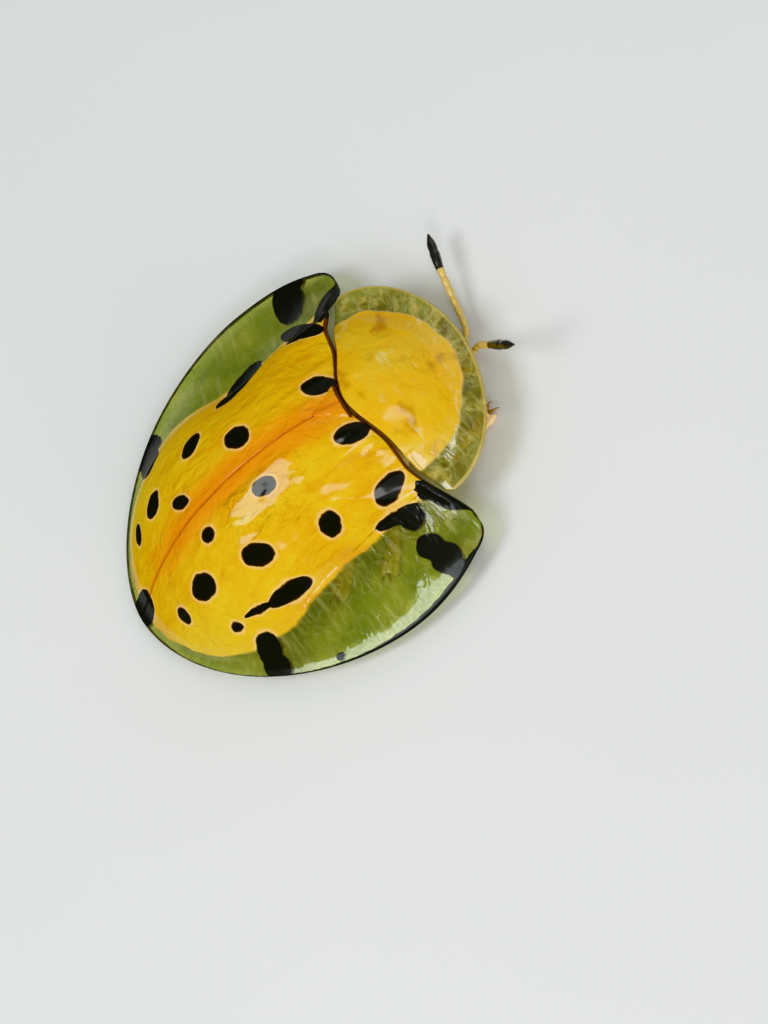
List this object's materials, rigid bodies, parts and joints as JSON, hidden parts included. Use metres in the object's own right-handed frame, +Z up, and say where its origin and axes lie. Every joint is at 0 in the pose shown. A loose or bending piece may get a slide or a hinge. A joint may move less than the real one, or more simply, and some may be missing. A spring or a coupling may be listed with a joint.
{
  "type": "tortoise beetle",
  "caption": "A still, life-size leaf beetle with a domed spotted back and clear flat margins, standing on small flat feet with its feelers spread.",
  "frame": {"origin": "on the floor, under the middle of the box round the whole animal with its feelers", "axes": "+Z up, the head towards -Y, the animal's left towards +X"},
  "size_m": [0.0124, 0.0154, 0.0042],
  "materials": {
    "amber_cuticle": "glossy hard cuticle, yellow to orange with black spots",
    "clear_cuticle": "clear straw-coloured cuticle with fine veins and black bands",
    "honey_cuticle": "satin pale yellow cuticle",
    "black_cuticle": "glossy black cuticle"
  },
  "bodies": {
    "root": {"elytron_left": "amber_cuticle", "elytron_right": "amber_cuticle", "elytron_left_margin": "clear_cuticle", "elytron_right_margin": "clear_cuticle", "scutellum": "amber_cuticle", "pronotum": "amber_cuticle", "pronotum_margin": "clear_cuticle", "prothorax": "honey_cuticle", "thorax": "honey_cuticle", "abdomen": "honey_cuticle", "head": "honey_cuticle", "eye_left": "black_cuticle", "eye_right": "black_cuticle", "antenna_left": "honey_cuticle", "antenna_right": "honey_cuticle", "antenna_left_club": "black_cuticle", "antenna_right_club": "black_cuticle", "leg_front_left": "honey_cuticle", "leg_front_right": "honey_cuticle", "leg_mid_left": "honey_cuticle", "leg_mid_right": "honey_cuticle", "leg_hind_left": "honey_cuticle", "leg_hind_right": "honey_cuticle"}
  },
  "joints": []
}
